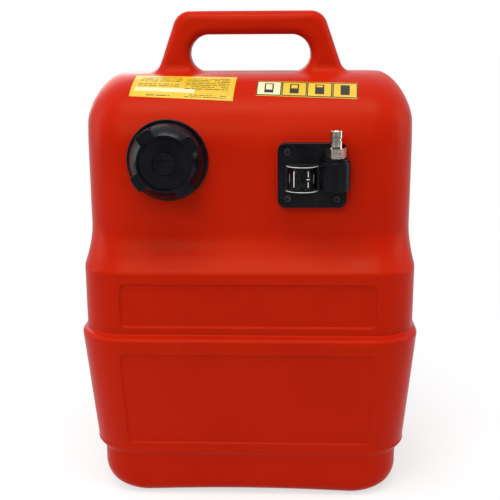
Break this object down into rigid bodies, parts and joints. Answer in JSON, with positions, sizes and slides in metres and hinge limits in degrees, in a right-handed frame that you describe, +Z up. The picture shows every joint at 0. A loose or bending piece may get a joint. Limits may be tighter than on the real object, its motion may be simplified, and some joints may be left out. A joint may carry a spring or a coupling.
{
  "type": "outboard fuel tank",
  "caption": "Upright portable outboard fuel tank with a moulded carry handle, screw filler cap with a vent, float gauge behind a window, and a hose plug with a check valve.",
  "frame": {"origin": "centre of the tank's box at the floor, standing on its foot", "axes": "+Z up to the handle, -Y to the front with the cap and gauge, +X to the right seen from the front"},
  "size_m": [0.347, 0.252, 0.495],
  "materials": {
    "tank_plastic": "satin moulded",
    "cap_plastic": "satin moulded",
    "sender_plastic": "semi-gloss moulded",
    "drum_plastic": "matt",
    "white_plastic": "natural",
    "float_foam": "closed-cell foam",
    "clear_plastic": "clear polished",
    "rubber": "matt",
    "brass": "turned",
    "plated_brass": "nickel plated, turned",
    "steel": "stainless",
    "black_steel": "black zinc"
  },
  "bodies": {
    "tank": {"tank_shell": "tank_plastic", "threaded_inserts": "brass", "gauge_body": "sender_plastic", "sender_gasket": "rubber", "sender_screws": "black_steel", "screw_washers": "rubber", "gauge_lens": "clear_plastic", "lens_gasket": "rubber", "drum_axle": "steel", "pickup_tube": "white_plastic", "pickup_strainer": "white_plastic", "outlet_nipple": "plated_brass", "nipple_washer": "rubber", "check_spring": "steel", "spring_retainer": "brass"},
    "cap_seal": {"cap_gasket": "rubber", "cap_liner": "white_plastic"},
    "filler_cap": {"cap_shell": "cap_plastic"},
    "vent_seal": {"vent_o_ring": "rubber"},
    "vent_screw": {"vent_knob": "cap_plastic", "vent_clip": "steel"},
    "float_gauge": {"gauge_drum": "drum_plastic", "float_arm": "steel", "float": "float_foam", "float_push_nut": "steel"},
    "check_valve": {"check_poppet": "brass"}
  },
  "joints": [
    {"name": "cap_rise", "type": "slide", "parent": "tank", "child": "cap_seal", "axis": [0, -1, 0], "range_m": [0, 0.0101]},
    {"name": "cap_turn", "type": "hinge", "parent": "cap_seal", "child": "filler_cap", "pos_m": [-0.079, -0.0926, 0.352], "axis": [0, -1, 0], "range_deg": [0, 720]},
    {"name": "vent_rise", "type": "slide", "parent": "filler_cap", "child": "vent_seal", "axis": [0, -1, 0], "range_m": [0, 0.001]},
    {"name": "vent_turn", "type": "hinge", "parent": "vent_seal", "child": "vent_screw", "pos_m": [-0.079, -0.115, 0.352], "axis": [0, -1, 0], "range_deg": [0, 180.5]},
    {"name": "float_swing", "type": "hinge", "parent": "tank", "child": "float_gauge", "pos_m": [0.0535, -0.098, 0.3355], "axis": [0, 0, 1], "range_deg": [0, 60]},
    {"name": "check_push", "type": "slide", "parent": "tank", "child": "check_valve", "axis": [0, 0, -1], "range_m": [0, 0.003], "stiffness_N_per_m": 400, "springref_m": -0.003, "deforming": ["check_spring"]}
  ],
  "couplings": [
    {"joint": "cap_rise", "follows": "cap_turn", "m_per_rad": 0.00079577},
    {"joint": "vent_turn", "follows": "vent_rise", "rad_per_m": 3141.6}
  ]
}
